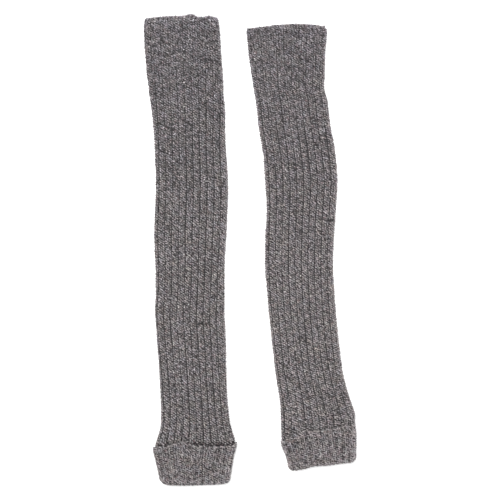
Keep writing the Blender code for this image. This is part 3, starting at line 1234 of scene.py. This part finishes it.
# The wool's bumps: their height in metres and the plies' share. Then its matt finish.
FUZZ_BUMP = 0.00012
STREAK_BUMP = 0.8
WOOL_FINISH = {
    "Roughness": 0.95,
    "Specular IOR Level": 0.15,
    "Sheen Weight": 0.15,
    "Sheen Roughness": 0.6,
}


def groove_line(layout, place):
    """Shadow of the grooves: steep beside the rib on its right, softer on its left."""
    waver = layout.noise(place, GROOVE_WAVER_SCALE, detail=0.0)
    waver = layout.scaled(waver, GROOVE_WAVER, -GROOVE_WAVER / 2.0)
    across_rib = layout.math("FRACT", layout.math("ADD", layout.mark("rib_place"), waver))
    left = layout.spread(across_rib, *GROOVE_LEFT)
    right = layout.spread(across_rib, *GROOVE_RIGHT)
    return layout.math("MULTIPLY", layout.math("MINIMUM", left, right), layout.mark("groove"))


def crease_line(layout):
    """Shadow at the bottom of the sharp creases."""
    near = layout.spread(layout.math("ABSOLUTE", layout.mark("line_place")), *CREASE_SHADOW)
    return layout.math("MULTIPLY", near, layout.mark("line_shade"))


def ply_streaks(layout, yarn):
    """Light and dark plies that wind around the yarn of a stitch."""
    inputs = {0: yarn, 1: PLY_TURN}
    turn = layout.add("ShaderNodeVectorMath", inputs, operation="DOT_PRODUCT").outputs["Value"]
    waver = layout.math("MULTIPLY", layout.noise(yarn, PLY_WAVER_SCALE), PLY_WAVER)
    plies = layout.math("SINE", layout.math("ADD", turn, waver))
    return layout.scaled(plies, PLY_SHARE, 0.5)


def stitch_shade(layout, yarn):
    """Painted shade on a stitch low down at its sides."""
    height = layout.add("ShaderNodeSeparateXYZ", {0: yarn}).outputs["Z"]
    return layout.math("MULTIPLY", layout.spread(height, *STITCH_TOP), STITCH_SIDE_SHADE)


def colour_drift(layout, place):
    """A tint that wanders between pinker, bluer and greener."""
    side, up, _ = layout.add("ShaderNodeSeparateXYZ", {0: place}).outputs
    tints = []
    for drift, where, span, more in (
        (PINK_DRIFT, side, RIGHT_RANGE, PINKER_RIGHT),
        (BLUE_DRIFT, up, UP_RANGE, BLUER_UP),
    ):
        tint = layout.scaled(layout.noise(place, drift["scale"]), drift["factor"], drift["start"])
        further = layout.math("MULTIPLY", layout.spread(where, *span), more)
        tints.append(layout.math("ADD", tint, further))
    return layout.add("ShaderNodeCombineColor", {0: tints[0], 1: 1.0, 2: tints[1]}).outputs[0]


def marl_wool(name, wool, on_stitches):
    """Marl wool: dark and light fibres twisted together, with warm patches and flecks."""
    layout = NodeLayout(name)
    place = layout.add("ShaderNodeTexCoord").outputs["Object"]
    stretch = {0: place, 1: LONG_CLUMP_STRETCH}
    long_place = layout.add("ShaderNodeVectorMath", stretch, operation="MULTIPLY").outputs[0]
    tone = layout.mark("tone")
    if on_stitches:
        yarn = layout.mark("yarn", "Vector")
        streaks = ply_streaks(layout, yarn)
        # Painted shade low on the stitches' sides, in the grooves and at the bottom of the sharp
        # creases.
        shades = (stitch_shade(layout, yarn), groove_line(layout, place), crease_line(layout))
        for shade in shades:
            tone = layout.math("SUBTRACT", tone, shade)
    else:
        streaks = layout.noise(place, GROUND_STREAK_SCALE)
    fibres = layout.noise(place, FIBRE_SCALE, detail=1.0)
    grains = {
        "fibres": fibres,
        "clumps": layout.noise(place, CLUMP_SCALE, detail=0.0),
        "long clumps": layout.noise(long_place, LONG_CLUMP_SCALE, detail=0.0),
        "streaks": streaks,
        "patches": layout.noise(place, PATCH_SCALE),
    }
    for kind, grain in grains.items():
        weight = GRAIN_WEIGHTS[kind]
        tone = layout.math("ADD", tone, layout.scaled(grain, weight, -weight / 2.0))
    share = layout.spread(tone, 0.0, LIGHT_TONE)
    wool_colour = layout.blend(share, colour(wool.dark_fibre), colour(wool.light_fibre))
    warmth = layout.spread(layout.noise(place, WARM_SCALE, detail=1.0), *WARM_RANGE)
    warm_share = layout.math("MULTIPLY", warmth, WARM_SHARE)
    wool_colour = layout.blend(warm_share, wool_colour, colour(wool.warm_fibre))
    spots = layout.add("ShaderNodeTexVoronoi", {"Vector": place, "Scale": FLECK_SCALE}).outputs
    near = layout.spread(spots["Distance"], *FLECK_EDGE)
    chance = layout.add("ShaderNodeSeparateColor", {0: spots["Color"]}).outputs[0]
    fleck_share = layout.math("MULTIPLY", near, layout.spread(chance, *FLECK_RARITY))
    wool_colour = layout.blend(fleck_share, wool_colour, colour(wool.fleck))
    wool_colour = layout.blend(1.0, wool_colour, colour_drift(layout, place), mode="MULTIPLY")
    layout.links.new(wool_colour, layout.shader.inputs["Base Color"])
    relief = layout.math("ADD", fibres, layout.math("MULTIPLY", streaks, STREAK_BUMP))
    bumps = {"Height": relief, "Distance": FUZZ_BUMP, "Strength": 1.0}
    normal = layout.add("ShaderNodeBump", bumps).outputs["Normal"]
    layout.links.new(normal, layout.shader.inputs["Normal"])
    layout.finish(WOOL_FINISH)
    return layout.material


# Loose fibres: their darkest colour, and the noise that mixes it with the light one.
FUZZ_DARK = (0.12, 0.11, 0.112)
FUZZ_SCALE = 90.0
FUZZ_RANGE = (0.35, 0.65)


def fibre_wool(name, wool):
    """Pale loose fibres."""
    layout = NodeLayout(name)
    place = layout.add("ShaderNodeTexCoord").outputs["Object"]
    share = layout.spread(layout.noise(place, FUZZ_SCALE), *FUZZ_RANGE)
    final = layout.blend(share, colour(FUZZ_DARK), colour(wool.light_fibre))
    layout.links.new(final, layout.shader.inputs["Base Color"])
    layout.finish({"Roughness": 0.8})
    return layout.material


def dress(piece, material):
    """Give a piece its material and its place on the body."""
    piece.data.materials.append(material)
    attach(piece, BODY)


SIDE_CHOICE = bpy.props.EnumProperty(
    name="Side",
    description="Which of the pair, as they lie",
    items=(("left", "Left", "The one on the left"), ("right", "Right", "The one on the right")),
)


class LEGWARMER_OT_knit_leg(bpy.types.Operator):
    """Knit one leg: its ribbed tube, its stitches and its upper edge"""

    bl_idname = "legwarmer.knit_leg"
    bl_label = "Knit Leg"

    side: SIDE_CHOICE

    def execute(self, context):
        leg = LEGS[self.side]
        knit = context.scene.leg_warmer_knit
        wool = context.scene.leg_warmer_wool
        node = leg.side + "_leg"
        ground = marl_wool(leg.side + "_ground_wool", wool, on_stitches=False)
        yarn = marl_wool(leg.side + "_rib_wool", wool, on_stitches=True)
        tube = knit_tube(leg, knit)
        relief = rib_relief(knit.rib_rise / MM)
        top = leg.course[0].down
        layers = [
            lay_stitches(leg.side + name, leg, stitches, LEG_OUTSIDE, height, sections)
            for name, stitches, height, sections in (
                ("_front_stitches", rib_stitches(leg, knit, True), relief, COARSE_STITCH),
                ("_back_stitches", rib_stitches(leg, knit, False), relief, COARSE_STITCH),
                ("_pale_loops", pale_stitches(leg), no_relief, FINE_STITCH),
                ("_upper_edge", edge_stitches(leg, "upper_edge", top), no_relief, FINE_STITCH),
            )
        ]
        dress(tube, ground)
        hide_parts(node)
        for layer in layers:
            dress(layer, yarn)
        return {"FINISHED"}


class LEGWARMER_OT_turn_up_cuff(bpy.types.Operator):
    """Turn one leg's lower end up as a cuff, with the knit's reverse outside"""

    bl_idname = "legwarmer.turn_up_cuff"
    bl_label = "Turn Up Cuff"

    side: SIDE_CHOICE

    def execute(self, context):
        leg = LEGS[self.side]
        wool = context.scene.leg_warmer_wool
        node = leg.side + "_cuff"
        ground = marl_wool(leg.side + "_cuff_ground_wool", wool, on_stitches=False)
        yarn = marl_wool(leg.side + "_cuff_wool", wool, on_stitches=True)
        cuff = knit_cuff(leg)
        fold = leg.bottom - FOLD_TUCK - FOLD_ROUND + FOLD_ROUND * math.pi / 2.0
        layers = [
            lay_stitches(leg.side + name, leg, stitches, CUFF_OUTSIDE, no_relief, to_lip=True)
            for name, stitches in (
                ("_cuff_stitches", cuff_stitches(leg)),
                ("_lip_edge", edge_stitches(leg, "lip_edge", leg.lip)),
                ("_fold_edge", edge_stitches(leg, "fold_edge", fold)),
            )
        ]
        dress(cuff, ground)
        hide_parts(node)
        for layer in layers:
            dress(layer, yarn)
        return {"FINISHED"}


class LEGWARMER_OT_raise_fuzz(bpy.types.Operator):
    """Raise loose fibres on one leg warmer"""

    bl_idname = "legwarmer.raise_fuzz"
    bl_label = "Raise Fuzz"

    side: SIDE_CHOICE

    def execute(self, context):
        leg = LEGS[self.side]
        scene = context.scene
        fuzz = raise_fuzz(leg, scene.leg_warmer_knit.fuzz_fibres)
        material = fibre_wool(leg.side + "_fuzz_wool", scene.leg_warmer_wool)
        dress(fuzz, material)
        return {"FINISHED"}


class LEGWARMER_OT_set_stage(bpy.types.Operator):
    """Lay the pale floor, light it softly and look straight down"""

    bl_idname = "legwarmer.set_stage"
    bl_label = "Set Stage"

    def execute(self, context):
        studio = context.scene.leg_warmer_studio
        lay_floor(studio)
        light_studio(studio)
        aim_camera(studio)
        context.scene.view_settings.view_transform = "Standard"
        return {"FINISHED"}


# The floor's height in metres, just under the cloth, and its colour.
FLOOR_LEVEL = -0.0002
FLOOR_GREY = (0.93, 0.93, 0.93, 1.0)

# The lamp above: its side and its place in metres, and its tilt in degrees.
LAMP_SIDE = 0.9
LAMP_PLACE = (-0.3, 0.45, 1.7)
LAMP_TILT = (-14.8, -10.0, 0.0)


def lay_floor(studio):
    """A plain white floor under the pair."""
    half = studio.floor_side / 2.0
    corners = [(-half, -half), (half, -half), (half, half), (-half, half)]
    points = np.array([(x, y, FLOOR_LEVEL) for x, y in corners])
    floor = make_object("floor", points, [(0, 1, 2, 3)])
    layout = NodeLayout("white_floor")
    layout.finish({"Base Color": FLOOR_GREY, "Roughness": 1.0, "Specular IOR Level": 0.0})
    floor.data.materials.append(layout.material)


def light_studio(studio):
    """One large soft lamp above, and even light from all round."""
    lamp = bpy.data.lights.new("key", "AREA")
    lamp.shape = "SQUARE"
    lamp.size = LAMP_SIDE
    lamp.energy = studio.key_power
    key = bpy.data.objects.new("key", lamp)
    key.location = LAMP_PLACE
    key.rotation_euler = [math.radians(turn) for turn in LAMP_TILT]
    bpy.context.scene.collection.objects.link(key)
    world = bpy.data.worlds.new("studio")
    bpy.context.scene.world = world
    world.use_nodes = True
    background = world.node_tree.nodes["Background"]
    background.inputs["Color"].default_value = (1.0, 1.0, 1.0, 1.0)
    background.inputs["Strength"].default_value = studio.sky_strength


def aim_camera(studio):
    """Straight down, with the photograph's framing."""
    lens = bpy.data.cameras.new("camera")
    lens.lens = studio.lens
    camera = bpy.data.objects.new("camera", lens)
    span = PIXEL * IMAGE_PIXELS * MM
    distance = span * lens.lens / lens.sensor_width
    camera.location = (IMAGE_MIDDLE[0] * MM, IMAGE_MIDDLE[1] * MM, distance)
    bpy.context.scene.collection.objects.link(camera)
    bpy.context.scene.camera = camera


LEG_OPERATORS = (LEGWARMER_OT_knit_leg, LEGWARMER_OT_turn_up_cuff, LEGWARMER_OT_raise_fuzz)


class LEGWARMER_PT_panel(bpy.types.Panel):
    """Leg warmer tools in the 3D view's sidebar"""

    bl_idname = "LEGWARMER_PT_panel"
    bl_label = "Leg Warmers"
    bl_space_type = "VIEW_3D"
    bl_region_type = "UI"
    bl_category = "Leg Warmers"

    def draw(self, context):
        layout = self.layout
        for settings in (
            context.scene.leg_warmer_knit,
            context.scene.leg_warmer_wool,
            context.scene.leg_warmer_studio,
        ):
            box = layout.box()
            for name in settings.__annotations__:
                box.prop(settings, name)
        for side in LEGS:
            for operator in LEG_OPERATORS:
                layout.operator(operator.bl_idname).side = side
        layout.operator(LEGWARMER_OT_set_stage.bl_idname)


CLASSES = (
    KnitSettings,
    WoolSettings,
    StudioSettings,
    *LEG_OPERATORS,
    LEGWARMER_OT_set_stage,
    LEGWARMER_PT_panel,
)


def register():
    for cls in CLASSES:
        bpy.utils.register_class(cls)
    bpy.types.Scene.leg_warmer_knit = bpy.props.PointerProperty(type=KnitSettings)
    bpy.types.Scene.leg_warmer_wool = bpy.props.PointerProperty(type=WoolSettings)
    bpy.types.Scene.leg_warmer_studio = bpy.props.PointerProperty(type=StudioSettings)


def unregister():
    del bpy.types.Scene.leg_warmer_studio
    del bpy.types.Scene.leg_warmer_wool
    del bpy.types.Scene.leg_warmer_knit
    for cls in reversed(CLASSES):
        bpy.utils.unregister_class(cls)


def main():
    register()
    for side in LEGS:
        bpy.ops.legwarmer.knit_leg(side=side)
        bpy.ops.legwarmer.turn_up_cuff(side=side)
        bpy.ops.legwarmer.raise_fuzz(side=side)
    bpy.ops.legwarmer.set_stage()


if __name__ == "__main__":
    main()
